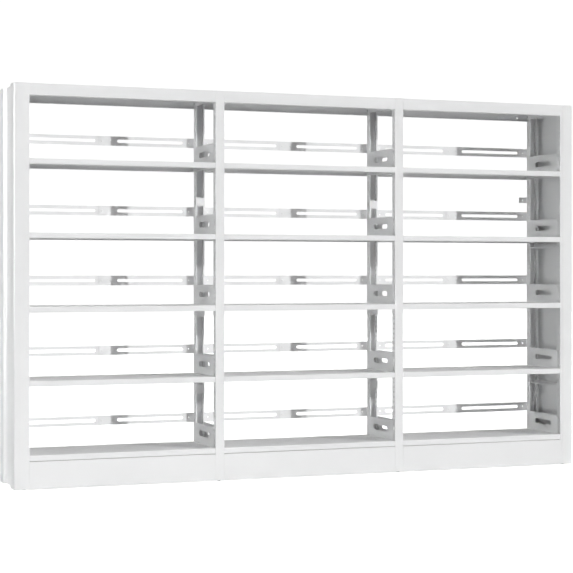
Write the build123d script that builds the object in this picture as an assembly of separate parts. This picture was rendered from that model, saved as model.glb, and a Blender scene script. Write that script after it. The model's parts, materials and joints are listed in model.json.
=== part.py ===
"""Steel library shelving: one range of three bays with five loose shelf boards in each.

Four frames, each a front and a rear slotted column, stand on levelling glides. Kick plates and
top boards tie them together, brackets hook into the column slots and carry the boards, and two
slotted rails behind each board keep the books in. A pressed cover closes each end.

The frame of reference has its origin on the floor under the middle of the range, X along the
range, Y from the front face to the back, and Z up. All lengths are in millimetres.
"""

import os

from build123d import *

# Layout of the range
bay_count = 3
level_count = 5
bay_clear = 960.0
frame_height = 2000.0
frame_depth = 377.6
space_over_last_board = 370.0
seam = 0.1
overrun = 5.0

# Columns: lipped channels with hook slots in both sides
column_width = 48.0
column_depth = 38.0
column_sheet = 1.5
column_lip = 8.0
column_bend = 1.8
slots_per_level = 14
slot_width = 6.0
slot_height = 16.0
slot_setback = 17.0
slot_above_board = 12.0
first_slot_row = -1
slot_row_count = 68

# Kick plates and top boards: sheet folded on all sides
panel_sheet = 1.2
kick_height = 136.0
kick_gap = 2.0
kick_fold = 26.0
top_lip = 60.0
top_fold = 24.0
wall_hole_diameter = 10.0
wall_hole_inset = 64.0
wall_hole_drop = 41.0

# Shelf boards: folded trays whose front edge fills the space between the columns
board_sheet = 1.2
board_lip = 28.0
board_lip_fold = 12.0
board_side_lip = 24.0
board_front_gap = 0.8
board_front_land = 11.5
board_side_gap = 2.0
board_rear_gap = 2.2
rest_gap = 0.3

# Brackets: side plates with a turned-in foot flange and a rolled top edge
bracket_sheet = 1.5
bracket_rise = 104.0
bracket_setback = 22.0
bracket_flange = 20.0
bracket_hem = 9.0
bracket_hem_sheet = 1.4
bracket_corner = 6.0
bracket_hole_length = 180.0
bracket_hole_height = 28.0
bracket_hole_front = 99.0
bracket_hole_level = 54.5

# Hooks that drop into the column slots
hook_width = 5.0
hook_drop = 7.0
hook_sheet = 1.8
hook_gap = 0.3
bracket_hook_rows = (0, 3)
rail_hook_row = 5
wall_tab_hook_row = 50

# Back rails: two slotted strips per board that lap in the middle of the bay
rail_sheet = 1.5
rail_bottom = 102.0
rail_height = 50.0
rail_tab_depth = 24.0
rail_tab_gap = 4.0
rail_slot_height = 16.0
rail_slot_length = 360.0
rail_slot_inset = 62.0
rail_lap = 80.0
rail_hole_diameter = 6.5
rail_hole_inset = 30.0
rivet_inset = 16.0
rivet_diameter = 6.0
rivet_head_diameter = 12.0
rivet_head_height = 0.9

# Pressed end covers
cover_sheet = 1.2
cover_stand_out = 30.0
cover_recess = 17.0
cover_lobe = 95.0
cover_slope = 5.0
cover_lap = 32.0
cover_bend = 8.0
cover_recess_bend = 3.0

# Hook rails inside the end frames, and the clips that join the covers to them
hook_rail_sheet = 1.5
hook_rail_height = 20.0
hook_rail_depth = 22.0
hook_rail_lip = 7.0
hook_rail_setback = 4.0
hook_rail_upper_level = 1206.0
hook_rail_lower_level = 430.0
clip_width = 30.0
clip_leg = 22.0
clip_sheet = 2.0
clip_lap = 14.0
clip_place_shares = (-0.6, 0.6)

# Ties inside the frames, column foot plates and glides
tie_width = 44.0
tie_height = 40.0
tie_sheet = 2.0
foot_tie_level = 40.0
head_tie_drop = 6.0
foot_plate_sheet = 3.0
foot_plate_gap = 0.2
foot_plate_corner = 2.0
glide_height = 4.0
glide_diameter = 20.0
glide_stud_diameter = 8.0
glide_stud_length = 22.0
stud_gap = 0.25

# Plates on the rear columns
mouth_plate_height = 45.0
mouth_plate_sheet = 1.5
mouth_plate_upper_level = 1421.0
mouth_plate_middle_level = 831.0
mouth_plate_lower_level = 424.0
wall_tab_length = 52.0
wall_tab_height = 33.0
wall_tab_hole_diameter = 8.0

# Screws through the folded ends of the kick plates and top boards
screw_diameter = 5.0
screw_length = 12.0
screw_head_diameter = 10.0
screw_head_height = 3.0
screw_gap = 0.25
kick_screw_shares = (0.3, 0.75)
top_screw_shares = (0.55,)

# Places worked out from the sizes above
bay_pitch = bay_clear + column_width
first_board_top = kick_height + kick_gap + board_lip
level_pitch = (frame_height - first_board_top - space_over_last_board) / (level_count - 1)
half_clear = bay_clear / 2
half_depth = frame_depth / 2
column_half = column_width / 2
mouth_y = half_depth - column_depth
frame_count = bay_count + 1
frame_bottom = glide_height
frame_top = frame_bottom + frame_height
slot_pitch = level_pitch / slots_per_level
slot_y = half_depth - slot_setback
plate_face = half_clear - bracket_sheet
hook_height = slot_height - 2 * hook_gap - hook_drop
rails_front = half_depth - 2 * rail_sheet
board_half = plate_face - board_side_gap
board_rear = rails_front - board_rear_gap
bracket_front = -half_depth + bracket_setback
bracket_rear = rails_front - seam
bracket_drop = board_side_lip + rest_gap + bracket_sheet
rail_centre = rail_bottom + rail_height / 2
end_face = bay_count / 2 * bay_pitch + column_half
cover_face = end_face + cover_stand_out
cover_half_depth = half_depth + cover_sheet


def frame_x(frame):
    """X of the centre line of a frame, counted from the left."""
    return (frame - (frame_count - 1) / 2) * bay_pitch


def bay_x(bay):
    """X of the middle of a bay, counted from the left."""
    return (bay - (bay_count - 1) / 2) * bay_pitch


def board_top(level):
    """Height of the top of a shelf board above the floor."""
    return frame_bottom + first_board_top + level * level_pitch


def slot_z(row):
    """Height of a row of column slots; row 0 is just above the lowest board."""
    return board_top(0) + slot_above_board + row * slot_pitch


def block(x0, x1, y0, y1, z0, z1):
    """A box between two opposite corners."""
    sized = Box(abs(x1 - x0), abs(y1 - y0), abs(z1 - z0))
    return Pos((x0 + x1) / 2, (y0 + y1) / 2, (z0 + z1) / 2) * sized


def bar_x(diameter, x0, x1, y, z):
    """A cylinder along X between two places."""
    return Pos((x0 + x1) / 2, y, z) * Rot(0, 90, 0) * Cylinder(diameter / 2, abs(x1 - x0))


def bar_y(diameter, x, y0, y1, z):
    """A cylinder along Y between two places."""
    return Pos(x, (y0 + y1) / 2, z) * Rot(90, 0, 0) * Cylinder(diameter / 2, abs(y1 - y0))


def bar_z(diameter, x, y, z0, z1):
    """An upright cylinder between two heights."""
    return Pos(x, y, (z0 + z1) / 2) * Cylinder(diameter / 2, abs(z1 - z0))


def right_or_left(shape, side):
    """The shape as drawn on the right-hand side, or its mirror image on the left."""
    return shape if side > 0 else mirror(shape, about=Plane.YZ)


def rear_or_front(shape, end):
    """The shape as drawn at the rear, or its mirror image at the front."""
    return shape if end > 0 else mirror(shape, about=Plane.XZ)


def save(name, *shapes):
    """Write one node, which is a solid or a group of separate solids."""
    solids = [solid for shape in shapes for solid in shape.solids()]
    whole = solids[0] if len(solids) == 1 else Compound(children=solids)
    export_step(whole, os.path.join("parts", name + ".step"))


def kick_screw_places():
    """Depths and heights of the screws at one end of a rear kick plate."""
    y = half_depth - kick_fold / 2
    return [(y, frame_bottom + share * kick_height) for share in kick_screw_shares]


def top_screw_places():
    """Depths and heights of the screws at one end of a top board's rear lip."""
    y = half_depth - top_fold / 2
    return [(y, frame_top - share * top_lip) for share in top_screw_shares]


def make_column():
    """A rear column on X 0: its closed face is at the back and its mouth faces the middle."""
    inner_width = column_width - 2 * column_sheet
    inner_depth = column_depth - 2 * column_sheet
    section = RectangleRounded(column_width, column_depth, column_bend)
    section -= RectangleRounded(inner_width, inner_depth, column_bend - column_sheet)
    mouth = Rectangle(column_width - 2 * column_lip, 2 * column_sheet + overrun)
    section -= Pos(0, -column_depth / 2) * mouth
    channel = extrude(section, amount=frame_height - panel_sheet)
    channel = Pos(0, half_depth - column_depth / 2, frame_bottom) * channel
    reach = column_half + overrun
    cuts = []
    for row in range(first_slot_row, first_slot_row + slot_row_count):
        z = slot_z(row)
        y0 = slot_y - slot_width / 2
        z0 = z - slot_height / 2
        cuts.append(block(-reach, reach, y0, y0 + slot_width, z0, z0 + slot_height))
    for y, z in kick_screw_places() + top_screw_places():
        cuts.append(bar_x(screw_diameter + 2 * screw_gap, -reach, reach, y, z))
    return channel - cuts


def make_kick_plate():
    """The rear kick plate of the middle bay, folded on four sides and open towards the front."""
    half = half_clear - seam
    fold_y = half_depth - kick_fold
    top = frame_bottom + kick_height
    plate = block(-half, half, fold_y, half_depth, frame_bottom, top)
    plate -= block(
        -half + panel_sheet, half - panel_sheet, fold_y - overrun, half_depth - panel_sheet,
        frame_bottom + panel_sheet, top - panel_sheet,
    )
    for y, z in kick_screw_places():
        plate -= bar_x(screw_diameter + 2 * screw_gap, -half_clear, half_clear, y, z)
    return plate


def make_top_lip():
    """The rear lip of the middle bay's top board, folded in below and at both ends."""
    half = half_clear - seam
    fold_y = half_depth - top_fold
    bottom = frame_top - top_lip
    lip = block(-half, half, fold_y, half_depth, bottom, frame_top)
    lip -= block(
        -half + panel_sheet, half - panel_sheet, fold_y - overrun, half_depth - panel_sheet,
        bottom + panel_sheet, frame_top - panel_sheet,
    )
    for y, z in top_screw_places():
        lip -= bar_x(screw_diameter + 2 * screw_gap, -half_clear, half_clear, y, z)
    return lip


def make_top_board(bay):
    """A top board: a sheet over the column tops, with a deep lip at the front and the rear."""
    left = -bay_pitch / 2 + seam / 2
    right = bay_pitch / 2 - seam / 2
    wall_holes = []
    if bay == 0:
        left = -half_clear - column_width
        wall_holes.append(wall_hole_inset - half_clear)
    if bay == bay_count - 1:
        right = half_clear + column_width
        wall_holes.append(half_clear - wall_hole_inset)
    board = block(left, right, -half_depth, half_depth, frame_top - panel_sheet, frame_top)
    lip = make_top_lip()
    board += rear_or_front(lip, 1)
    board += rear_or_front(lip, -1)
    for x in wall_holes:
        hole_z = frame_top - wall_hole_drop
        board -= bar_y(wall_hole_diameter, x, half_depth - overrun, half_depth + overrun, hole_z)
    return Pos(bay_x(bay), 0, 0) * board


def make_shelf_board():
    """A shelf board of the middle bay, with its top on Z 0."""
    front = -half_depth
    land = front + board_front_land
    wide = half_clear - board_front_gap
    fold_top = -board_lip + board_sheet
    rear_fold = board_rear - board_lip_fold
    board = block(-board_half, board_half, front, board_rear, -board_sheet, 0)
    board += block(-wide, wide, front, land, -board_sheet, 0)
    board += block(-wide, wide, front, front + board_sheet, -board_lip, 0)
    board += block(-wide, wide, front, land, -board_lip, fold_top)
    board += block(-board_half, board_half, board_rear - board_sheet, board_rear, -board_lip, 0)
    board += block(-board_half, board_half, rear_fold, board_rear, -board_lip, fold_top)
    for side in (-1, 1):
        lip = block(
            board_half - board_sheet, board_half, land, board_rear - board_sheet, -board_side_lip, 0
        )
        board += right_or_left(lip, side)
    return board


def make_hook(y, z):
    """A right-hand hook: a tongue through the slot at this place, and a tooth behind the sheet."""
    inside = half_clear + column_sheet + hook_gap
    y0 = y - hook_width / 2
    y1 = y + hook_width / 2
    z0 = z - slot_height / 2 + hook_gap
    hook = block(plate_face, inside + hook_sheet, y0, y1, z0, z0 + hook_height)
    hook += block(inside, inside + hook_sheet, y0, y1, z0 - hook_drop, z0 + hook_height)
    return hook


def make_bracket():
    """The right-hand bracket of the middle bay, with its board's top on Z 0."""
    bottom = -bracket_drop
    inner_front = bracket_front + bracket_corner
    plate = block(plate_face, half_clear, bracket_front, bracket_rear, bottom, bracket_rise)
    front_corners = plate.edges().filter_by(Axis.X).sort_by(Axis.Y)[:2]
    plate = fillet(front_corners, bracket_corner)
    hole = extrude(SlotOverall(bracket_hole_length, bracket_hole_height), amount=overrun, both=True)
    hole_y = -half_depth + bracket_hole_front + bracket_hole_length / 2
    plate -= Pos(half_clear, hole_y, bracket_hole_level) * Rot(0, 0, 90) * Rot(90, 0, 0) * hole
    hem = block(
        plate_face - bracket_hem_sheet, plate_face, inner_front, bracket_rear,
        bracket_rise - bracket_hem, bracket_rise,
    )
    hem = fillet(hem.edges().filter_by(Axis.Y).group_by(Axis.X)[0], bracket_hem_sheet / 2)
    flange_rear = board_rear - board_sheet - rest_gap
    flange = block(
        plate_face - bracket_flange, half_clear, inner_front, flange_rear, bottom, bottom + bracket_sheet
    )
    bracket = plate + hem + flange
    for row in bracket_hook_rows:
        z = slot_z(row) - board_top(0)
        z0 = z - slot_height / 2 + hook_gap
        arm = block(plate_face, half_clear, -slot_y - hook_width / 2, inner_front, z0, z0 + hook_height)
        bracket += arm + make_hook(-slot_y, z) + make_hook(slot_y, z)
    return bracket


def make_back_rail(side):
    """The right or left strip of the middle bay's back rail, with its board's top on Z 0."""
    rear = half_depth - rail_sheet if side > 0 else half_depth
    z1 = rail_bottom + rail_height
    strip = block(-rail_lap / 2, half_clear, rear - rail_sheet, rear, rail_bottom, z1)
    strip += block(
        plate_face, half_clear, rear - rail_tab_depth, rear, bracket_rise + rail_tab_gap, z1
    )
    strip += make_hook(slot_y, slot_z(rail_hook_row) - board_top(0))
    slot = extrude(SlotOverall(rail_slot_length, rail_slot_height), amount=overrun, both=True)
    slot_x = half_clear - rail_slot_inset - rail_slot_length / 2
    strip -= Pos(slot_x, rear, rail_centre) * Rot(90, 0, 0) * slot
    hole_x = half_clear - rail_hole_inset
    strip -= bar_y(rail_hole_diameter, hole_x, rear - overrun, rear + overrun, rail_centre)
    for x in rivet_places():
        strip -= bar_y(rivet_diameter, x, rear - overrun, rear + overrun, rail_centre)
    return right_or_left(strip, side)


def rivet_places():
    """Places along X of the rivets in the lap of a back rail."""
    place = rail_lap / 2 - rivet_inset
    return (-place, place)


def make_rivet(x):
    """A rivet through both strips of a back rail, headed at both ends."""
    front = rails_front
    rivet = bar_y(rivet_diameter, x, front, half_depth, rail_centre)
    rivet += bar_y(rivet_head_diameter, x, front - rivet_head_height, front, rail_centre)
    rivet += bar_y(rivet_head_diameter, x, half_depth, half_depth + rivet_head_height, rail_centre)
    return rivet


def cover_outline():
    """Plan of the right-hand end cover, filled in: two round lobes with a recess between."""
    inner = end_face - cover_lap
    floor = cover_face - cover_recess
    y = cover_half_depth
    shoulder = y - cover_lobe
    points = [
        (inner, -y), (cover_face, -y), (cover_face, -shoulder), (floor, -shoulder + cover_slope),
        (floor, shoulder - cover_slope), (cover_face, shoulder), (cover_face, y), (inner, y),
    ]
    outline = make_face(Polyline(*points, close=True))
    corners = outline.vertices().group_by(Axis.X)
    outline = fillet(corners[-1].sort_by(Axis.Y)[1:-1] + corners[1], cover_recess_bend)
    outer = outline.vertices().group_by(Axis.X)[-1].sort_by(Axis.Y)
    return fillet([outer[0], outer[-1]], cover_bend)


def make_end_cover():
    """The right-hand end cover: a pressed sheet that laps the end columns, with a cap on top."""
    outline = cover_outline()
    inner = end_face - cover_lap
    hollow = offset(outline, amount=-cover_sheet)
    mouth = Rectangle(2 * overrun, frame_depth)
    hollow += Pos(inner, 0) * mouth
    skin = Pos(0, 0, frame_bottom) * extrude(outline - hollow, amount=frame_height)
    cap = Pos(0, 0, frame_top - cover_sheet) * extrude(outline, amount=cover_sheet)
    cap &= block(
        end_face + seam, cover_face, -cover_half_depth, cover_half_depth, frame_bottom, frame_top
    )
    return skin + cap


def make_hook_rail(level):
    """A right-hand hook rail: a channel between the end columns that is open towards the bay."""
    front = end_face - column_width + hook_rail_setback
    back = front + hook_rail_depth
    z0 = frame_bottom + level
    z1 = z0 + hook_rail_height
    rail = block(front, back, -mouth_y, mouth_y, z0, z0 + hook_rail_sheet)
    rail += block(front, front + hook_rail_sheet, -mouth_y, mouth_y, z0, z0 + hook_rail_lip)
    rail += block(back - hook_rail_sheet, back, -mouth_y, mouth_y, z0, z1)
    rail += block(front, back, -mouth_y, mouth_y, z1 - hook_rail_sheet, z1)
    return rail


def make_clip(level, place_share):
    """A clip that stands on a hook rail and is fixed to the inside of the right-hand cover."""
    y = place_share * mouth_y
    rail_back = end_face - column_width + hook_rail_setback + hook_rail_depth
    cover_inside = cover_face - cover_recess - cover_sheet
    z0 = frame_bottom + level + hook_rail_height
    y0 = y - clip_width / 2
    y1 = y + clip_width / 2
    clip = block(rail_back - clip_lap, cover_inside, y0, y1, z0, z0 + clip_sheet)
    clip += block(cover_inside - clip_sheet, cover_inside, y0, y1, z0, z0 + clip_leg)
    return clip


def make_tie(z0):
    """A tie between a frame's two columns: a channel with its open side down."""
    half = tie_width / 2
    tie = block(-half, half, -mouth_y, mouth_y, z0, z0 + tie_height)
    tie -= block(
        -half + tie_sheet, half - tie_sheet, -mouth_y - overrun, mouth_y + overrun,
        z0 - overrun, z0 + tie_height - tie_sheet,
    )
    return tie


def make_foot_plate():
    """The plate inside the foot of a rear column that the glide's stud passes through."""
    half_width = column_half - column_sheet - foot_plate_gap
    y = half_depth - column_depth / 2
    half_length = column_depth / 2 - column_sheet - foot_plate_gap
    z1 = frame_bottom + foot_plate_sheet
    plate = block(-half_width, half_width, y - half_length, y + half_length, frame_bottom, z1)
    plate = fillet(plate.edges().filter_by(Axis.Z), foot_plate_corner)
    stud_hole = glide_stud_diameter + 2 * stud_gap
    return plate - bar_z(stud_hole, 0, y, frame_bottom - overrun, z1 + overrun)


def make_glide():
    """The levelling glide of a rear column: a pad on the floor and its stud."""
    y = half_depth - column_depth / 2
    glide = bar_z(glide_diameter, 0, y, 0, glide_height)
    glide += bar_z(glide_stud_diameter, 0, y, glide_height, glide_height + glide_stud_length)
    return glide


def make_screw(y, z):
    """A screw through the right-hand end of a folded panel and the column beside it."""
    face = half_clear - seam - panel_sheet
    screw = bar_x(screw_diameter, face, face + screw_length, y, z)
    screw += bar_x(screw_head_diameter, face - screw_head_height, face, y, z)
    return screw


def make_screws(places):
    """The same screws at both ends of the front and rear panels of every bay."""
    screws = []
    for y, z in places:
        for side in (-1, 1):
            for end in (-1, 1):
                screw = rear_or_front(right_or_left(make_screw(y, z), side), end)
                screws += [Pos(bay_x(bay), 0, 0) * screw for bay in range(bay_count)]
    return screws


def make_mouth_plate(level):
    """A plate across the mouth of a rear column."""
    z0 = frame_bottom + level
    front = mouth_y - mouth_plate_sheet
    return block(-column_half, column_half, front, mouth_y, z0, z0 + mouth_plate_height)


def make_wall_tab():
    """A short right-hand strip that fixes the last bay to a wall, hooked on like a back rail."""
    z = slot_z(wall_tab_hook_row)
    z0 = z - wall_tab_height / 2
    z1 = z + wall_tab_height / 2
    tab = block(half_clear - wall_tab_length, half_clear, half_depth - rail_sheet, half_depth, z0, z1)
    tab += block(plate_face, half_clear, half_depth - rail_tab_depth, half_depth, z0, z1)
    tab += make_hook(slot_y, z)
    hole_x = half_clear - rail_hole_inset
    return tab - bar_y(wall_tab_hole_diameter, hole_x, half_depth - overrun, half_depth + overrun, z)


def save_frames():
    """Columns, ties, foot plates and glides of every frame."""
    column = make_column()
    head_tie = make_tie(frame_top - panel_sheet - head_tie_drop - tie_height)
    foot_tie = make_tie(frame_bottom + foot_tie_level)
    foot_plate = make_foot_plate()
    glide = make_glide()
    places = [Pos(frame_x(frame), 0, 0) for frame in range(frame_count)]
    for number, place in enumerate(places, start=1):
        save(f"front_column_{number}", place * rear_or_front(column, -1))
        save(f"rear_column_{number}", place * column)
    both_ends = [(place, end) for place in places for end in (-1, 1)]
    save("frame_head_ties", *[place * head_tie for place in places])
    save("frame_foot_ties", *[place * foot_tie for place in places])
    save("column_foot_plates", *[place * rear_or_front(foot_plate, end) for place, end in both_ends])
    save("levelling_glides", *[place * rear_or_front(glide, end) for place, end in both_ends])
    levels = (mouth_plate_upper_level, mouth_plate_middle_level, mouth_plate_lower_level)
    plates = [place * make_mouth_plate(level) for place in places[1:-1] for level in levels]
    save("column_mouth_plates", *plates)


def save_panels():
    """Kick plates, top boards and their screws."""
    kick_plate = make_kick_plate()
    for bay in range(bay_count):
        place = Pos(bay_x(bay), 0, 0)
        save(f"front_kick_plate_{bay + 1}", place * rear_or_front(kick_plate, -1))
        save(f"rear_kick_plate_{bay + 1}", place * kick_plate)
        save(f"top_board_{bay + 1}", make_top_board(bay))
    save("kick_plate_screws", *make_screws(kick_screw_places()))
    save("top_board_screws", *make_screws(top_screw_places()))


def save_shelves():
    """Shelf boards, brackets and back rails of every bay and level."""
    board = make_shelf_board()
    bracket = make_bracket()
    rivets = [make_rivet(x) for x in rivet_places()]
    every_rivet = []
    for bay in range(bay_count):
        places = [Pos(bay_x(bay), 0, board_top(level)) for level in range(level_count)]
        for level, place in enumerate(places, start=1):
            save(f"shelf_board_bay_{bay + 1}_level_{level}", place * board)
        for side, word in ((-1, "left"), (1, "right")):
            hand = right_or_left(bracket, side)
            rail = make_back_rail(side)
            save(f"brackets_bay_{bay + 1}_{word}", *[place * hand for place in places])
            save(f"back_rails_bay_{bay + 1}_{word}", *[place * rail for place in places])
        every_rivet += [place * rivet for place in places for rivet in rivets]
    save("back_rail_rivets", *every_rivet)


def save_ends():
    """End covers with their hook rails and clips, and the wall tabs beside them."""
    cover = make_end_cover()
    hook_rails = []
    clips = []
    for level in (hook_rail_upper_level, hook_rail_lower_level):
        hook_rails.append(make_hook_rail(level))
        clips += [make_clip(level, share) for share in clip_place_shares]
    wall_tab = Pos(bay_x(bay_count - 1), 0, 0) * make_wall_tab()
    for side, word in ((-1, "left"), (1, "right")):
        save(f"{word}_end_cover", right_or_left(cover, side))
        save(f"{word}_cover_hook_rails", *[right_or_left(rail, side) for rail in hook_rails])
    save("cover_clips", *[right_or_left(clip, side) for clip in clips for side in (-1, 1)])
    save("rear_wall_tabs", *[right_or_left(wall_tab, side) for side in (-1, 1)])


os.makedirs("parts", exist_ok=True)
save_frames()
save_panels()
save_shelves()
save_ends()
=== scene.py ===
"""Looks of a three-bay steel library shelving range: its paint, folded sheet, hardware and studio."""

import json
import logging
import math
from abc import ABC, abstractmethod
from collections.abc import Iterator
from dataclasses import dataclass
from enum import Enum

import bpy
import numpy as np
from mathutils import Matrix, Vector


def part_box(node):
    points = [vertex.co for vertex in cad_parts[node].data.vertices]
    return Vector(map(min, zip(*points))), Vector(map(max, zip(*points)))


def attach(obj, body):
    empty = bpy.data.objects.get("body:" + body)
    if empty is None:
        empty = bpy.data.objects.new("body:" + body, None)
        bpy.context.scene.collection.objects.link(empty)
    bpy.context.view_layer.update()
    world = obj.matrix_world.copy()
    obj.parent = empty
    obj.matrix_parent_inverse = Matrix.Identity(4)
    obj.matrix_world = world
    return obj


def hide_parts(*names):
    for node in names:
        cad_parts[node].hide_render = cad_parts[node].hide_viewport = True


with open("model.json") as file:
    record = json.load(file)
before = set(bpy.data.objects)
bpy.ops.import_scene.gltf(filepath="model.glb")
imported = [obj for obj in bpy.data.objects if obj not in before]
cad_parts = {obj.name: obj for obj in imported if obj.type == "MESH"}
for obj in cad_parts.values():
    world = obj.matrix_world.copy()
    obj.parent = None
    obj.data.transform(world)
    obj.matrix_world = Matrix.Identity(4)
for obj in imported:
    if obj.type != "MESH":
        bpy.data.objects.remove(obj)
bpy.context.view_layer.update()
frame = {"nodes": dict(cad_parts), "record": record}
log = logging.getLogger("shelving")

Pair = tuple[float, float]
Vec = tuple[float, float, float]
Lines = tuple[np.ndarray, np.ndarray]
Socket = bpy.types.NodeSocket

# Surfaces are worked out in millimetres, and the scene is in metres.
MM = 0.001
# Points that agree to this many decimals of a millimetre are one point.
WELD_DIGITS = 5
# Rays of a pierced plate that agree to this many decimals are one ray.
ANGLE_DIGITS = 6
# A ray and an edge whose cross product is smaller than this run side by side.
PARALLEL = 1e-9
# A ray still meets an edge that it passes by this share of the edge.
EDGE_SLACK = 1e-6
# Faces that meet at a smaller angle than this are shaded as one surface.
SMOOTH_UP_TO = math.radians(40)
# The plane in which a profile is turned about each axis.
PLANE_ACROSS = {"x": "yz", "y": "zx", "z": "xy"}
# The body that carries everything but the loose boards.
RANGE = "range"


class Slot(Enum):
    """Material slots of the record that the pieces take their finish from."""

    PAINT = "light_grey_paint"
    ZINC = "zinc_plated_steel"
    PLASTIC = "dark_plastic"


@dataclass(frozen=True)
class Grain:
    """Noise in space: its cells per metre and its number of finer octaves."""

    scale: float
    detail: float


@dataclass(frozen=True)
class Ramp:
    """A straight run from a first to a last value over a stretch, held at both ends."""

    start: float
    end: float
    first: float
    last: float


@dataclass(frozen=True)
class Relief:
    """How strongly a height turns the surface's normal, and its depth in metres."""

    strength: float
    depth: float


class NodeGraph:
    """Nodes of a material or a world, with short calls for adding and linking them."""

    def __init__(self, owner: bpy.types.Material | bpy.types.World) -> None:
        """Start with no nodes.

        Args:
            owner: material or world that the nodes belong to.
        """
        owner.use_nodes = True
        self.owner = owner
        self.tree = owner.node_tree
        self.tree.nodes.clear()

    def add(self, kind: str, values: tuple = (), settings: dict | None = None,
            **inputs: object) -> bpy.types.Node:
        """Add a node, set its properties and fill its sockets.

        Args:
            kind: node type without the ShaderNode prefix.
            values: what its first sockets in use get, in their order.
            settings: property values of the node.
            inputs: socket name with underscores for spaces, to what it gets.

        Returns:
            The new node.
        """
        node = self.tree.nodes.new("ShaderNode" + kind)
        for key, value in (settings or {}).items():
            setattr(node, key, value)
        in_use = [socket for socket in node.inputs if socket.enabled]
        for socket, value in zip(in_use, values):
            self.feed(socket, value)
        for key, value in inputs.items():
            self.feed(node.inputs[key.replace("_", " ")], value)
        return node

    def feed(self, socket: Socket, value: object) -> None:
        """Link an output to a socket, or set the socket's own value.

        Args:
            socket: input socket.
            value: output to link, a colour's red, green and blue, or a plain value.
        """
        if isinstance(value, Socket):
            self.tree.links.new(value, socket)
        elif socket.type == "RGBA":
            socket.default_value = (*value, 1)
        else:
            socket.default_value = value

    def noise(self, place: Socket, grain: Grain) -> Socket:
        """Noise of a grain, read at a place."""
        return self.add("TexNoise", Vector=place, Scale=grain.scale, Detail=grain.detail).outputs["Fac"]

    def span(self, value: Socket, ramp: Ramp) -> Socket:
        """What a ramp gives for a value."""
        values = (value, ramp.start, ramp.end, ramp.first, ramp.last)
        return self.add("MapRange", values, {"clamp": True}).outputs["Result"]

    def math(self, operation: str, first: object, second: object) -> Socket:
        """A sum, product or other plain operation on two values."""
        return self.add("Math", (first, second), {"operation": operation}).outputs["Value"]

    def tint(self, share: Socket, first: Socket | Vec, second: Vec) -> Socket:
        """Mix a colour with a share of a second one."""
        mix = self.add("Mix", (share, first, second), {"data_type": "RGBA"})
        return next(result for result in mix.outputs if result.enabled)

    def raised(self, height: Socket, relief: Relief, normal: Socket | None = None) -> Socket:
        """Turn the surface's normal by a height over it.

        Args:
            height: the height, from 0 to 1.
            relief: strength and depth.
            normal: normal to start from, or none for the surface's own.

        Returns:
            The turned normal.
        """
        node = self.add("Bump", Height=height, Strength=relief.strength, Distance=relief.depth)
        if normal is not None:
            self.feed(node.inputs["Normal"], normal)
        return node.outputs["Normal"]

    def finish(self, **inputs: object) -> bpy.types.Material:
        """Close the material with one shader.

        Args:
            inputs: sockets of the shader, as in add.

        Returns:
            The finished material.
        """
        shader = self.add("BsdfPrincipled", **inputs)
        self.add("OutputMaterial", Surface=shader.outputs["BSDF"])
        return self.owner


@dataclass(frozen=True)
class PowderCoat:
    """Baked powder paint: orange peel, faint colour drift, dust on ledges, and lighter edges that are
    partly worn paint and partly a painted highlight.
    """

    name: str = "light_grey_powder_coat"
    color: Vec = (0.845, 0.848, 0.85)
    drift: Vec = (0.80, 0.805, 0.81)
    dust: Vec = (0.66, 0.65, 0.63)
    # Edge colour, lighter than the paint: worn edges plus a painted highlight along rounded edges.
    edge: Vec = (0.90, 0.90, 0.90)
    clouds: Grain = Grain(2.2, 3.0)
    blotches: Grain = Grain(38.0, 4.0)
    peel: Grain = Grain(900.0, 1.0)
    drift_share: Ramp = Ramp(0.35, 0.65, 0.0, 0.45)
    edge_wear_and_highlight_share: Ramp = Ramp(0.75, 0.97, 0.5, 0.0)
    ledge_share: Ramp = Ramp(0.8, 1.0, 0.0, 0.16)
    dust_share: Ramp = Ramp(0.4, 0.7, 0.2, 1.0)
    roughness: Ramp = Ramp(0.3, 0.7, 0.29, 0.35)
    ripple_relief: Relief = Relief(0.35, 0.0004)
    peel_relief: Relief = Relief(0.6, 0.00004)
    edge_radius: float = 0.0006
    edge_samples: int = 4

    def build(self) -> bpy.types.Material:
        """Make the material.

        An edge is where the normal of a rounded edge and the face's own normal part, which their dot
        product tells. Edges are lightened in blotches, partly as worn paint and partly as a painted
        highlight. Dust lies where the face's normal points up, in blotches, and roughens it.

        Returns:
            The finished material.
        """
        graph = NodeGraph(bpy.data.materials.new(self.name))
        place = graph.add("TexCoord").outputs["Object"]
        clouds = graph.noise(place, self.clouds)
        blotches = graph.noise(place, self.blotches)
        peel = graph.noise(place, self.peel)
        color = graph.tint(graph.span(clouds, self.drift_share), self.color, self.drift)
        bevel = graph.add("Bevel", settings={"samples": self.edge_samples}, Radius=self.edge_radius)
        rounded = bevel.outputs["Normal"]
        flat = graph.add("NewGeometry").outputs["True Normal"]
        likeness = graph.add("VectorMath", (rounded, flat), {"operation": "DOT_PRODUCT"})
        edge = graph.span(likeness.outputs["Value"], self.edge_wear_and_highlight_share)
        # Painted highlight and wear: edges are lightened towards the edge colour, in blotches.
        color = graph.tint(graph.math("MULTIPLY", edge, blotches), color, self.edge)
        ledge = graph.span(graph.add("SeparateXYZ", Vector=flat).outputs["Z"], self.ledge_share)
        dust = graph.math("MULTIPLY", ledge, graph.span(blotches, self.dust_share))
        color = graph.tint(dust, color, self.dust)
        rough = graph.math("ADD", graph.span(blotches, self.roughness), dust)
        ripple = graph.raised(clouds, self.ripple_relief, rounded)
        skin = graph.raised(peel, self.peel_relief, ripple)
        return graph.finish(Base_Color=color, Roughness=rough, Normal=skin)


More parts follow.
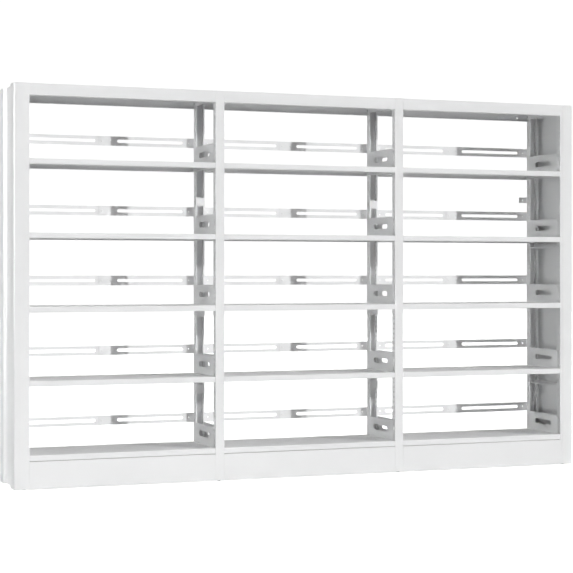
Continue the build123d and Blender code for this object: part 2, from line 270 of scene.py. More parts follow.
@dataclass(frozen=True)
class SmallPartFinish:
    """A finish of two colours in clouds, with a roughness that drifts with them and a fine relief."""

    name: str
    color: Vec
    cloud: Vec
    clouds: Grain
    fine: Grain
    cloud_share: Ramp
    roughness: Ramp
    fine_relief: Relief
    metallic: float

    def build(self) -> bpy.types.Material:
        """Make the material.

        Returns:
            The finished material.
        """
        graph = NodeGraph(bpy.data.materials.new(self.name))
        place = graph.add("TexCoord").outputs["Object"]
        clouds = graph.noise(place, self.clouds)
        fine = graph.noise(place, self.fine)
        color = graph.tint(graph.span(clouds, self.cloud_share), self.color, self.cloud)
        rough = graph.span(clouds, self.roughness)
        skin = graph.raised(fine, self.fine_relief)
        return graph.finish(Base_Color=color, Roughness=rough, Metallic=self.metallic, Normal=skin)


@dataclass(frozen=True)
class ZincPlate(SmallPartFinish):
    """Bright zinc on small steel parts, with a cloudy drift and fine scuffs."""

    name: str = "bright_zinc_plate"
    color: Vec = (0.66, 0.67, 0.68)
    cloud: Vec = (0.52, 0.53, 0.55)
    clouds: Grain = Grain(160.0, 4.0)
    fine: Grain = Grain(2400.0, 2.0)
    cloud_share: Ramp = Ramp(0.35, 0.65, 0.0, 1.0)
    roughness: Ramp = Ramp(0.3, 0.7, 0.28, 0.42)
    fine_relief: Relief = Relief(0.4, 0.00003)
    metallic: float = 1.0


@dataclass(frozen=True)
class MouldedPlastic(SmallPartFinish):
    """Dark moulded plastic with a fine spark-eroded grain and grey scuffs."""

    name: str = "dark_moulded_plastic"
    color: Vec = (0.055, 0.056, 0.058)
    cloud: Vec = (0.14, 0.14, 0.14)
    clouds: Grain = Grain(220.0, 4.0)
    fine: Grain = Grain(3000.0, 1.0)
    cloud_share: Ramp = Ramp(0.5, 0.75, 0.0, 1.0)
    roughness: Ramp = Ramp(0.3, 0.7, 0.52, 0.64)
    fine_relief: Relief = Relief(0.5, 0.00005)
    metallic: float = 0.0


class Finishes:
    """The range's finishes, made once and shared by all pieces."""

    def __init__(self) -> None:
        """Build each finish."""
        kinds = {Slot.PAINT: PowderCoat(), Slot.ZINC: ZincPlate(), Slot.PLASTIC: MouldedPlastic()}
        self.by_slot = {slot: finish.build() for slot, finish in kinds.items()}

    def dress(self, piece: bpy.types.Object, slot: Slot) -> None:
        """Give a piece one finish all over."""
        piece.data.materials.clear()
        piece.data.materials.append(self.by_slot[slot])


def grid_quads(rows: int, columns: int) -> np.ndarray:
    """Corner numbers of a grid of points, row after row, each row ending where it starts.

    Each quad joins a point, the next one in its row, and the two that follow them in the next row.

    Args:
        rows: number of rows.
        columns: number of points in a row.

    Returns:
        m by 4 corner numbers.
    """
    row, column = np.meshgrid(np.arange(rows - 1) * columns, np.arange(columns), indexing="ij")
    after = (column + 1) % columns
    corners = (row + column, row + after, row + columns + after, row + columns + column)
    return np.stack(corners, -1).reshape(-1, 4)


def on_axes(axes: str, flat: np.ndarray, across: np.ndarray) -> np.ndarray:
    """Rows of points in space, from rows of pairs in a plane and places on the axis across it.

    Args:
        axes: two letters, the axes of the plane.
        flat: the pairs, one row or one per row of points.
        across: the places on the third axis, one per row.

    Returns:
        Rows by columns by 3.
    """
    first, second = ("xyz".index(letter) for letter in axes)
    points = np.zeros((len(across), flat.shape[1], 3))
    points[:, :, first] = flat[:, :, 0]
    points[:, :, second] = flat[:, :, 1]
    points[:, :, 3 - first - second] = across
    return points


def fold(corners: list[Pair], radius: float | np.ndarray, sheet: float, side: int,
         steps: int = 5) -> Lines:
    """Outer and inner line of a folded sheet's section.

    Each corner becomes an arc: its centre is the corner moved back along the run by the radius times
    the tangent of half the turn, then sideways by the radius. The inner line is the outer line moved
    along its left normal by the sheet's thickness, towards the given side.

    Args:
        corners: corner points of the outer face.
        radius: outer bend radius, one or one per corner.
        sheet: thickness.
        side: 1 if the metal lies left of the outer line, -1 if right.
        steps: straight pieces per bend.

    Returns:
        The two lines, each n by 2.
    """
    points = np.asarray(corners, float)
    run = np.diff(points, axis=0)
    heading = np.arctan2(run[:, 1], run[:, 0])
    along = np.stack((np.cos(heading), np.sin(heading)), -1)
    turn = (np.diff(heading) + math.pi) % (2 * math.pi) - math.pi
    bend = np.broadcast_to(radius, turn.shape)[:, None]
    signed = np.sign(turn)[:, None] * bend
    angle = heading[:-1, None] + turn[:, None] * np.linspace(0, 1, steps + 1)
    left = np.stack((-np.sin(angle), np.cos(angle)), -1)
    back = bend * np.tan(np.abs(turn) / 2)[:, None] * along[:-1]
    centre = points[1:-1] - back + signed * left[:, 0]
    arcs = (centre[:, None] - signed[:, None] * left).reshape(-1, 2)
    ends = np.stack((-along[[0, -1], 1], along[[0, -1], 0]), -1)
    outer = np.concatenate((points[:1], arcs, points[-1:]))
    normals = np.concatenate((ends[:1], left.reshape(-1, 2), ends[1:]))
    return outer, outer + side * sheet * normals


def reach(loop: np.ndarray, angle: np.ndarray) -> np.ndarray:
    """Points where rays from the origin meet a loop round it.

    A ray along u meets the edge e that starts at a where its length is cross(a, e) / cross(u, e)
    and the share of the edge is cross(a, u) / cross(u, e).

    Args:
        loop: n by 2 corners of the loop.
        angle: m angles of the rays.

    Returns:
        m by 2 points.
    """
    ray = np.stack((np.cos(angle), np.sin(angle)), -1)
    edge = np.roll(loop, -1, axis=0) - loop
    slant = ray[:, :1] * edge[:, 1] - ray[:, 1:] * edge[:, 0]
    slant = np.where(np.abs(slant) < PARALLEL, PARALLEL, slant)
    length = (loop[:, 0] * edge[:, 1] - loop[:, 1] * edge[:, 0]) / slant
    share = (loop[:, 0] * ray[:, 1:] - loop[:, 1] * ray[:, :1]) / slant
    met = (length > 0) & (share > -EDGE_SLACK) & (share < 1 + EDGE_SLACK)
    return ray * np.where(met, length, np.inf).min(axis=1)[:, None]


class Shell:
    """One piece's surface in millimetres: closed surfaces, each with its points and quads."""

    def __init__(self) -> None:
        """Start with no surface."""
        self.surfaces: list[tuple[np.ndarray, np.ndarray]] = []

    def add(self, points: np.ndarray, quads: np.ndarray) -> None:
        """Add one closed surface, welded and turned to face outwards.

        Points at one place become one point, which closes seams and poles. The signed volume, the
        sum of corner triple products over the triangles, tells which way the surface faces, and a
        negative one has its corners taken in the other order.

        Args:
            points: places in millimetres, three to each.
            quads: m by 4 corner numbers.
        """
        rounded = points.reshape(-1, 3).round(WELD_DIGITS)
        place, number = np.unique(rounded, axis=0, return_inverse=True)
        quads = number.reshape(-1)[quads]
        a, b, c, d = (place[quads[:, corner]] for corner in range(4))
        volume = np.einsum("ij,ij->", a, np.cross(b, c)) + np.einsum("ij,ij->", a, np.cross(c, d))
        self.surfaces.append((place, quads if volume > 0 else quads[:, ::-1]))

    def grid(self, points: np.ndarray) -> None:
        """Add a closed surface from its rows of points."""
        self.add(points, grid_quads(*points.shape[:2]))

    def copies(self, other: "Shell", shift: Vec, flip: Vec) -> None:
        """Add another shell at a place, mirrored where the flip is negative."""
        for points, quads in other.surfaces:
            self.add(points * np.array(flip, float) + np.array(shift, float), quads)

    def carry(self, lines: Lines, axes: str, start: float, end: float) -> None:
        """Carry a sheet's section along the third axis, with its two ends closed.

        The section's two values go on the two named axes, and the run from start to end on the one
        left, so the surface is the section times a straight line. Quads between the outer and the
        inner line close each end.

        Args:
            lines: outer and inner line of the section.
            axes: two letters, the axes of the section.
            start: where the run starts.
            end: where it ends.
        """
        loop = np.concatenate((lines[0], lines[1][::-1]))
        count = len(loop)
        points = on_axes(axes, loop[None], np.array([[start], [end]]))
        step = np.arange(count // 2 - 1)
        cap = np.stack((step, step + 1, count - 2 - step, count - 1 - step), -1)
        self.add(points, np.concatenate((grid_quads(2, count), cap[:, ::-1], cap + count)))

    def pierced_plate(self, outer: np.ndarray, hole: np.ndarray, middle: Pair, axes: str,
                      low: float, high: float) -> None:
        """A plate with one hole: rings of quads between its edge and the hole.

        Rays from the hole's middle through every corner of both loops pair the points of the edge
        with those of the hole, so each face is the straight blend between the two loops.

        Args:
            outer: n by 2 corners of the edge about the hole's middle.
            hole: m by 2 corners of the hole about its middle.
            middle: the hole's middle.
            axes: two letters, the axes of the loops.
            low: lowest place on the third axis.
            high: highest place on the third axis.
        """
        corner = np.concatenate((outer, hole))
        angle = np.unique(np.arctan2(corner[:, 1], corner[:, 0]).round(ANGLE_DIGITS))
        edge, rim = reach(outer, angle), reach(hole, angle)
        rings = np.stack((edge, edge, rim, rim, edge)) + np.array(middle)
        self.grid(on_axes(axes, rings, np.array([low, high, high, low, low])[:, None]))

    def turned(self, profile: list[Pair], centre: Vec, axis: str, facets: int, sign: int = 1) -> None:
        """A solid of revolution: the profile's radius is carried round its axis.

        Args:
            profile: radius and height of each point, from axis to axis.
            centre: where its height is zero.
            axis: letter of its axis.
            facets: steps round.
            sign: 1 if its height grows along the axis, -1 if against it.
        """
        angle = np.linspace(0, 2 * math.pi, facets, endpoint=False)
        radius, height = np.hsplit(np.array(profile, float), 2)
        flat = np.stack((radius * np.cos(angle), radius * np.sin(angle)), -1)
        self.grid(on_axes(PLANE_ACROSS[axis], flat, sign * height) + np.array(centre))

    def mesh(self, name: str) -> bpy.types.Mesh:
        """Write the surfaces as one mesh in metres.

        A quad with two corners at one point becomes a triangle, and one with more is dropped.

        Args:
            name: name of the mesh.

        Returns:
            The mesh.
        """
        places = [place for place, _ in self.surfaces]
        firsts = np.cumsum([0] + [len(place) for place in places[:-1]])
        quads = np.concatenate([quads + first for (_, quads), first in zip(self.surfaces, firsts)])
        same = quads == np.roll(quads, -1, axis=1)
        faces = quads[~same.any(axis=1)].tolist()
        for corner in range(4):
            doubled = (same.sum(axis=1) == 1) & same[:, corner]
            faces += np.delete(quads[doubled], corner, axis=1).tolist()
        mesh = bpy.data.meshes.new(name)
        mesh.from_pydata(np.concatenate(places) * MM, [], faces)
        mesh.shade_smooth()
        mesh.set_sharp_from_angle(angle=SMOOTH_UP_TO)
        return mesh


def corners_mm(node: str) -> tuple[np.ndarray, np.ndarray]:
    """Lowest and highest corner of a CAD node in millimetres."""
    low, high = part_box(node)
    return np.array(low) / MM, np.array(high) / MM


@dataclass
class Layout:
    """Bays and levels of the range, read from the places of its shelf boards."""

    bays: int = 3
    levels: int = 5

    def bay_numbers(self) -> range:
        """Numbers of the bays, from the left."""
        return range(1, self.bays + 1)

    def level_numbers(self) -> range:
        """Numbers of the levels, from the floor."""
        return range(1, self.levels + 1)

    def board(self, bay: int, level: int) -> str:
        """Name of a shelf board's node."""
        return f"shelf_board_bay_{bay}_level_{level}"

    def middle(self, bay: int) -> float:
        """X of a bay's middle, in millimetres."""
        low, high = corners_mm(self.board(bay, 1))
        return float(low[0] + high[0]) / 2

    def top(self, level: int) -> float:
        """Height of a level's board top, in millimetres."""
        return float(corners_mm(self.board(1, level))[1][2])


@dataclass
class Assembly(ABC):
    """Pieces of one kind, which stand for CAD nodes of the range."""

    layout: Layout
    finishes: Finishes

    @abstractmethod
    def build(self) -> Iterator[bpy.types.Object]:
        """Make the pieces one after the other."""

    def hang(self, shell: Shell, node: str, made: str, slot: Slot = Slot.PAINT,
             body: str = RANGE) -> bpy.types.Object:
        """Hang a shell in the scene in the place of its node.

        Args:
            shell: the piece's surface.
            node: CAD node that it stands for.
            made: word for how it is made, which ends its name.
            slot: its finish.
            body: CAD body that it rides on.

        Returns:
            The new piece.
        """
        name = f"{node}_{made}"
        piece = bpy.data.objects.new(name, shell.mesh(name))
        bpy.context.scene.collection.objects.link(piece)
        self.finishes.dress(piece, slot)
        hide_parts(node)
        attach(piece, body)
        return piece


@dataclass
class ShelfBoards(Assembly):
    """Loose folded trays: top, front and rear lips folded under, and plain side lips."""

    sheet: float = 1.2
    bend: float = 2.0
    lip_fold: float = 12.0
    side_lip: float = 24.0
    front_land: float = 11.5
    side_step: float = 2.7

    def build(self) -> Iterator[bpy.types.Object]:
        """Make every board, each on its own body.

        Yields:
            Each board.
        """
        for bay in self.layout.bay_numbers():
            for level in self.layout.level_numbers():
                node = self.layout.board(bay, level)
                shell = Shell()
                self.tray(shell, *corners_mm(node))
                yield self.hang(shell, node, "tray", body=node)

    def tray(self, shell: Shell, low: np.ndarray, high: np.ndarray) -> None:
        """Fold one board inside its box.

        The whole section runs between the side bends. Beyond them the front lip goes on to the side
        of the box as an ear, and the rear lip goes on to the side lip as a tail.

        Args:
            shell: shell that takes the surface.
            low: lowest corner.
            high: highest corner.
        """
        front, bottom = low[1:]
        rear, top = high[1:]
        left, right = low[0] + self.side_step, high[0] - self.side_step
        flat_left, flat_right = left + self.bend, right - self.bend
        land = front + self.front_land
        rear_lip = [(rear, top), (rear, bottom), (rear - self.lip_fold, bottom)]
        section = [(front + self.lip_fold, bottom), (front, bottom), (front, top), *rear_lip]
        shell.carry(fold(section, self.bend, self.sheet, -1), "yz", flat_left, flat_right)
        ear = [(land, bottom), (front, bottom), (front, top), (land, top)]
        tail = [(rear - self.bend, top), *rear_lip]
        for line, start, end in ((ear, low[0], flat_left), (tail, left, flat_left),
                                 (ear, flat_right, high[0]), (tail, flat_right, right)):
            shell.carry(fold(line, self.bend, self.sheet, -1), "yz", start, end)
        for edge, sign in ((left, -1), (right, 1)):
            side = [(edge - sign * self.bend, top), (edge, top), (edge, top - self.side_lip)]
            shell.carry(fold(side, self.bend, self.sheet, -sign), "xz", land, rear - self.bend)


@dataclass
class TopBoards(Assembly):
    """Sheets over the columns with deep lips at the front and the rear, folded in underneath."""

    sheet: float = 1.2
    bend: float = 1.8
    fold_in: float = 24.0
    half_clear: float = 479.9
    hole_across: float = 10.0
    hole_inset: float = 63.9
    hole_drop: float = 41.0
    hole_facets: int = 24
    patch: float = 30.0

    def build(self) -> Iterator[bpy.types.Object]:
        """Make the top board of each bay, with a wall hole at each end of the range.

        Yields:
            Each top board.
        """
        for bay in self.layout.bay_numbers():
            node = f"top_board_{bay}"
            low, high = corners_mm(node)
            middle = self.layout.middle(bay)
            start, stop = middle - self.half_clear, middle + self.half_clear
            at_ends = {1: [start + self.hole_inset], self.layout.bays: [stop - self.hole_inset]}
            holes = at_ends.get(bay, [])
            shell = Shell()
            for left, right in ((low[0], start), (stop, high[0])):
                over_column = [(low[1], high[2]), (high[1], high[2])]
                shell.carry(fold(over_column, 0.0, self.sheet, -1), "yz", left, right)
            cuts = [start, *(hole + side * self.patch for hole in holes for side in (-1, 1)), stop]
            for left, right in zip(cuts[0::2], cuts[1::2]):
                shell.carry(self.section(low, high, low[2]), "yz", left, right)
            for hole in holes:
                self.pierced(shell, low, high, hole)
            for edge, side in ((start, -1), (stop, 1)):
                self.close_end(shell, low, high, edge, side)
            yield self.hang(shell, node, "folded")

    def section(self, low: np.ndarray, high: np.ndarray, rear_end: float) -> Lines:
        """Section from the front fold over the top to the rear lip.

        Args:
            low: lowest corner.
            high: highest corner.
            rear_end: height at which the rear lip ends, with its fold where that is the lowest.

        Returns:
            Outer and inner line.
        """
        corners = [(low[1] + self.fold_in, low[2]), (low[1], low[2]), (low[1], high[2]),
                   (high[1], high[2]), (high[1], rear_end)]
        if rear_end == low[2]:
            corners.append((high[1] - self.fold_in, low[2]))
        return fold(corners, self.bend, self.sheet, -1)

    def pierced(self, shell: Shell, low: np.ndarray, high: np.ndarray, hole: float) -> None:
        """The stretch of the board round a wall hole.

        Its section stops over a small plate with the hole, and starts again under it.

        Args:
            shell: shell that takes the surface.
            low: lowest corner.
            high: highest corner.
            hole: X of the hole's middle.
        """
        level = high[2] - self.hole_drop
        bottom, top = level - self.hole_across, level + self.hole_across
        left, right = hole - self.patch, hole + self.patch
        shell.carry(self.section(low, high, top), "yz", left, right)
        under = [(high[1], bottom), (high[1], low[2]), (high[1] - self.fold_in, low[2])]
        shell.carry(fold(under, self.bend, self.sheet, -1), "yz", left, right)
        turn = np.linspace(0, 2 * math.pi, self.hole_facets, endpoint=False)
        rim = np.stack((np.cos(turn), np.sin(turn)), -1) * self.hole_across / 2
        edge = np.array([(-1, -1), (1, -1), (1, 1), (-1, 1)]) * np.array([self.patch, self.hole_across])
        shell.pierced_plate(edge, rim, (hole, level), "xz", high[1] - self.sheet, high[1])

    def close_end(self, shell: Shell, low: np.ndarray, high: np.ndarray, edge: float,
                  side: int) -> None:
        """Folds that close both lips at one end.

        Args:
            shell: shell that takes the surface.
            low: lowest corner.
            high: highest corner.
            edge: X of the outer face.
            side: 1 at the high end, -1 at the low end.
        """
        for face, inward in ((low[1], 1), (high[1], -1)):
            fold_over = [(edge, face + inward * self.fold_in), (edge, face + inward * self.sheet)]
            lines = fold(fold_over, 0.0, self.sheet, -side * inward)
            shell.carry(lines, "xy", low[2] + self.sheet, high[2] - self.sheet)


@dataclass
class KickPlates(Assembly):
    """Plates under the lowest boards, folded in on all four sides."""

    sheet: float = 1.2
    bend: float = 1.8

    def build(self) -> Iterator[bpy.types.Object]:
        """Make the front and rear plate of each bay.

        Yields:
            Each plate.
        """
        for bay in self.layout.bay_numbers():
            for word, end in (("front", -1), ("rear", 1)):
                node = f"{word}_kick_plate_{bay}"
                low, high = corners_mm(node)
                face, inside = (high[1], low[1]) if end > 0 else (low[1], high[1])
                shell = Shell()
                section = [(inside, low[2]), (face, low[2]), (face, high[2]), (inside, high[2])]
                shell.carry(fold(section, self.bend, self.sheet, end), "yz", low[0], high[0])
                for edge, sign in ((low[0], -1), (high[0], 1)):
                    block = [(edge, inside), (edge, face - end * self.sheet)]
                    lines = fold(block, 0.0, self.sheet, sign * end)
                    shell.carry(lines, "xy", low[2] + self.sheet, high[2] - self.sheet)
                yield self.hang(shell, node, "folded")


@dataclass
class EndCovers(Assembly):
    """Pressed covers with two round lobes and a recess, lapped over the end columns and capped."""

    sheet: float = 1.2
    stand_out: float = 29.9
    recess: float = 17.0
    lobe: float = 95.0
    slope: float = 5.0
    lobe_bend: float = 8.0
    step_bend: float = 3.2
    bend_steps: int = 8

    def build(self) -> Iterator[bpy.types.Object]:
        """Make both covers.

        Yields:
            Each cover.
        """
        for word, sign in (("left", -1), ("right", 1)):
            node = f"{word}_end_cover"
            low, high = corners_mm(node)
            face, lap = (high[0], low[0]) if sign > 0 else (low[0], high[0])
            floor = face - sign * self.recess
            rear = high[1]
            step = rear - self.lobe
            outline = [(lap, -rear), (face, -rear), (face, -step), (floor, self.slope - step),
                       (floor, step - self.slope), (face, step), (face, rear), (lap, rear)]
            bends = np.array([self.lobe_bend, self.step_bend, self.step_bend])
            bends = np.concatenate((bends, bends[::-1]))
            lines = fold(outline, bends, self.sheet, sign, self.bend_steps)
            shell = Shell()
            shell.carry(lines, "xy", low[2], high[2])
            self.cap(shell, lines[1], face - sign * self.stand_out, high[2])
            yield self.hang(shell, node, "pressed")

    def cap(self, shell: Shell, line: np.ndarray, start: float, top: float) -> None:
        """Close the top: the plate spans from the outline's inner line to the columns' outer faces.

        Each point of the outline is joined with the point at the same depth on the columns' face.

        Args:
            shell: shell that takes the surface.
            line: inner line of the outline.
            start: X of the columns' outer faces.
            top: height of the cap's top.
        """
        kept = line[np.abs(line[:, 0]) > abs(start)]
        edge = np.stack((np.full(len(kept), start), kept[:, 1]), -1)
        shell.carry((kept, edge), "xy", top - self.sheet, top)


@dataclass
class Brackets(Assembly):
    """Side brackets: a plate with an oblong hole, a rolled top edge, a foot flange and four hooks."""

    sheet: float = 1.5
    half_clear: float = 480.0
    front: float = -166.8
    rear: float = 185.7
    drop: float = 25.8
    rise: float = 104.0
    corner: float = 6.0
    flange: float = 20.0
    flange_rear: float = 182.1
    bend: float = 2.2
    roll: float = 1.45
    roll_sheet: float = 1.4
    roll_drop: float = 9.0
    hole_middle: Pair = (0.2, 54.5)
    hole_half: float = 90.0
    hole_round: float = 14.0
    hook_depth: float = 171.8
    hook_rows: Pair = (12.0, 90.43)
    slot_half: float = 7.7
    hook_tall: float = 8.4
    hook_drop: float = 7.0
    hook_width: float = 5.0
    hook_reach: float = 483.6
    hook_sheet: float = 1.8
    hook_bend: float = 1.0
    corner_steps: int = 7

    def build(self) -> Iterator[bpy.types.Object]:
        """Make the brackets of each bay and side as one piece of five.

        Yields:
            The brackets of each bay and side.
        """
        hand = self.bracket()
        for bay in self.layout.bay_numbers():
            for word, sign in (("left", -1), ("right", 1)):
                shell = Shell()
                for level in self.layout.level_numbers():
                    place = (self.layout.middle(bay), 0, self.layout.top(level))
                    shell.copies(hand, place, (sign, 1, 1))
                yield self.hang(shell, f"brackets_bay_{bay}_{word}", "rolled")

    def bracket(self) -> Shell:
        """A right-hand bracket about the bay's middle, with its board's top at height zero.

        Returns:
            Its shell.
        """
        shell = Shell()
        face = self.half_clear - self.sheet
        inner = self.front + self.corner
        inside = self.half_clear - 2 * self.roll
        self.plate(shell, face)
        roll = [(self.half_clear, self.rise - self.roll), (self.half_clear, self.rise),
                (inside, self.rise), (inside, self.rise - self.roll_drop)]
        shell.carry(fold(roll, self.roll, self.roll_sheet, 1), "xz", inner, self.rear)
        foot = [(self.half_clear, self.bend - self.drop), (self.half_clear, -self.drop),
                (face - self.flange, -self.drop)]
        shell.carry(fold(foot, self.bend, self.sheet, -1), "xz", inner, self.flange_rear)
        outermost = -self.hook_depth - self.hook_width / 2
        for row in self.hook_rows:
            base = row - self.slot_half
            arm = [(outermost, base), (outermost, base + self.hook_tall)]
            shell.carry(fold(arm, 0.0, inner - outermost, -1), "yz", face, self.half_clear)
            for depth in (-self.hook_depth, self.hook_depth):
                self.hook(shell, depth, base, face)
        return shell

    def plate(self, shell: Shell, face: float) -> None:
        """The plate, from its outline with round front corners to its oblong hole.

        A round corner is its circle's middle plus the radius times (cos a, sin a) over a quarter
        turn, and each end of the hole is the same over half a turn.

        Args:
            shell: shell that takes the surface.
            face: X of the plate's inner face.
        """
        quarter = np.linspace(0, math.pi / 2, self.corner_steps)
        half = np.linspace(-math.pi / 2, math.pi / 2, 2 * self.corner_steps)
        high, low = self.rise - self.roll, self.bend - self.drop
        inner = self.front + self.corner
        upper = np.stack((inner - self.corner * np.sin(quarter),
                          self.rise - self.corner * (1 - np.cos(quarter))), -1)
        lower = np.stack((inner - self.corner * np.cos(quarter),
                          self.corner * (1 - np.sin(quarter)) - self.drop), -1)
        square = [(inner, low), (self.rear, low), (self.rear, high), (inner, high)]
        outer = np.concatenate((upper, lower, square)) - np.array(self.hole_middle)
        straight = self.hole_half - self.hole_round
        end = np.stack((straight + self.hole_round * np.cos(half), self.hole_round * np.sin(half)), -1)
        hole = np.concatenate((end, -end))
        shell.pierced_plate(outer, hole, self.hole_middle, "yz", face, self.half_clear)

    def hook(self, shell: Shell, depth: float, base: float, face: float) -> None:
        """One hook: a tongue through the slot, bent down behind the column's sheet.

        Args:
            shell: shell that takes the surface.
            depth: Y of its middle.
            base: height of its tongue's underside.
            face: X where it leaves the plate.
        """
        top = base + self.hook_tall
        near, far = depth - self.hook_width / 2, depth + self.hook_width / 2
        tongue = [(face, top), (self.hook_reach, top)]
        shell.carry(fold(tongue, 0.0, self.hook_tall, -1), "xz", near, far)
        tooth = [(self.hook_reach, base + self.hook_bend), (self.hook_reach, base - self.hook_drop)]
        shell.carry(fold(tooth, 0.0, self.hook_sheet, -1), "xz", near, far)


@dataclass
class PanelScrews(Assembly):
    """Pan-head screws with cross recesses that hold the kick plates and top boards."""

    head_radius: float = 5.0
    head_height: float = 3.0
    head_power: int = 4
    shank_radius: float = 2.5
    length: float = 12.0
    tip_length: float = 1.2
    tip_share: float = 0.6
    recess_radius: float = 2.6
    recess_depth: float = 1.5
    recess_width: float = 0.7
    first_ring_share: float = 0.25
    rings: int = 12
    head_facets: int = 32
    shank_facets: int = 20

    def build(self) -> Iterator[bpy.types.Object]:
        """Make the screws of both kinds of panel.

        Yields:
            The screws of each kind.
        """
        for node, rows in (("kick_plate_screws", 2), ("top_board_screws", 1)):
            low, high = corners_mm(node)
            heights = np.linspace(low[2] + self.head_radius, high[2] - self.head_radius, rows)
            depth = high[1] - self.head_radius
            shell = Shell()
            outer = high[0] - self.length - self.layout.middle(self.layout.bays)
            for bay in self.layout.bay_numbers():
                for sign in (-1, 1):
                    x = self.layout.middle(bay) + sign * outer
                    for y in (-depth, depth):
                        for z in heights:
                            self.screw(shell, (x, y, float(z)), sign)
            yield self.hang(shell, node, "turned", Slot.ZINC)

    def screw(self, shell: Shell, seat: Vec, sign: int) -> None:
        """One screw, with its head's seat at a place and its shank outwards.

        The head's height at radius r is h times the p-th root of 1 - (r / R)^p, with p the head's
        power, less the recess depth where the point lies within either bar of the cross.

        Args:
            shell: shell that takes the surface.
            seat: middle of the head's seat.
            sign: 1 if the shank points along X, -1 if against it.
        """
        rings = np.linspace(self.first_ring_share, 1.0, self.rings)
        share = np.concatenate(([0.0], rings))[:, None]
        radius = share * self.head_radius
        angle = np.linspace(0, 2 * math.pi, self.head_facets, endpoint=False)
        across, up = radius * np.cos(angle), radius * np.sin(angle)
        dome = self.head_height * np.maximum(1 - share ** self.head_power, 0) ** (1 / self.head_power)
        bar = np.minimum(np.abs(across), np.abs(up)) < self.recess_width
        sunk = np.where(bar & (radius < self.recess_radius), self.recess_depth, 0.0)
        head = np.stack((-sign * (dome - sunk), across, up), -1)
        underside = np.zeros((1, self.head_facets, 3))
        shell.grid(np.concatenate((head, underside)) + np.array(seat))
        shank = [(0.0, 0.0), (self.shank_radius, 0.0),
                 (self.shank_radius, self.length - self.tip_length),
                 (self.shank_radius * self.tip_share, self.length), (0.0, self.length)]
        shell.turned(shank, seat, "x", self.shank_facets, sign)


@dataclass
class RailRivets(Assembly):
    """Low domed rivets in the laps of the back rails, painted with them."""

    radius: float = 6.0
    height: float = 0.9
    shank: float = 3.0
    sunk: float = 1.5
    inset: float = 24.0
    level: float = 127.0
    dome_steps: int = 6
    facets: int = 20

    def build(self) -> Iterator[bpy.types.Object]:
        """Make every rivet: its dome is the radius times cos a and the height times sin a.

        Yields:
            The rivets as one piece.
        """
        node = "back_rail_rivets"
        low, high = corners_mm(node)
        turn = np.linspace(0, math.pi / 2, self.dome_steps)
        dome = np.stack((self.radius * np.cos(turn), self.height * np.sin(turn)), -1)
        half = [(0.0, -self.sunk), (self.shank, -self.sunk), (self.shank, 0.0), *dome]
        shell = Shell()
        for bay in self.layout.bay_numbers():
            for level in self.layout.level_numbers():
                for side in (-1, 1):
                    x = self.layout.middle(bay) + side * self.inset
                    z = self.layout.top(level) + self.level
                    shell.turned(half, (x, high[1] - self.height, z), "y", self.facets, 1)
                    shell.turned(half, (x, low[1] + self.height, z), "y", self.facets, -1)
        yield self.hang(shell, node, "domed")


@dataclass
class LevellingGlides(Assembly):
    """Glides under the columns: a moulded pad and a threaded stud.

    The shoulder gives how far in from the pad's rim and how far down from its top its points lie.
    """

    pad_radius: float = 10.0
    pad_height: float = 4.0
    pad_chamfer: float = 0.8
    shoulder: tuple[Pair, ...] = ((0.0, 1.4), (0.5, 0.6), (2.0, 0.0))
    pad_facets: int = 32
    stud_radius: float = 4.0
    stud_length: float = 22.0
    stud_facets: int = 16
    thread_pitch: float = 1.25
    thread_depth: float = 0.45
    rings_per_turn: int = 5

    def build(self) -> Iterator[bpy.types.Object]:
        """Make every glide.

        Yields:
            The glides as one piece.
        """
        node = "levelling_glides"
        low, high = corners_mm(node)
        frames = self.layout.bays + 1
        places = np.linspace(low[0] + self.pad_radius, high[0] - self.pad_radius, frames)
        depth = high[1] - self.pad_radius
        rim = [(self.pad_radius - inward, self.pad_height - down) for inward, down in self.shoulder]
        pad = [(0.0, 0.0), (self.pad_radius - self.pad_chamfer, 0.0),
               (self.pad_radius, self.pad_chamfer), *rim, (0.0, self.pad_height)]
        shell = Shell()
        for x in places:
            for y in (-depth, depth):
                shell.turned(pad, (x, y, 0.0), "z", self.pad_facets)
                self.stud(shell, x, y)
        yield self.hang(shell, node, "moulded", Slot.PLASTIC)

    def stud(self, shell: Shell, x: float, y: float) -> None:
        """The threaded stud: its radius waves with height over the pitch, less the turn round it.

        Args:
            shell: shell that takes the surface.
            x: place along the range.
            y: place in depth.
        """
        rings = round(self.stud_length / self.thread_pitch * self.rings_per_turn)
        height = self.pad_height + np.linspace(0, self.stud_length, rings + 1)[:, None]
        angle = np.linspace(0, 2 * math.pi, self.stud_facets, endpoint=False)
        wave = np.cos(2 * math.pi * height / self.thread_pitch - angle)
        radius = self.stud_radius - self.thread_depth * (1 - wave) / 2
        radius[[0, -1]] = self.stud_radius - self.thread_depth
        height = np.concatenate((height[:1], height, height[-1:]))
        radius = np.pad(radius, ((1, 1), (0, 0)))
        flat = np.stack((x + radius * np.cos(angle), y + radius * np.sin(angle)), -1)
        shell.grid(on_axes("xy", flat, height))


@dataclass(frozen=True)
class Sun:
    """A far light: its irradiance, its spread in degrees and the way that its light travels."""

    name: str
    strength: float
    spread: float
    travel: Vec


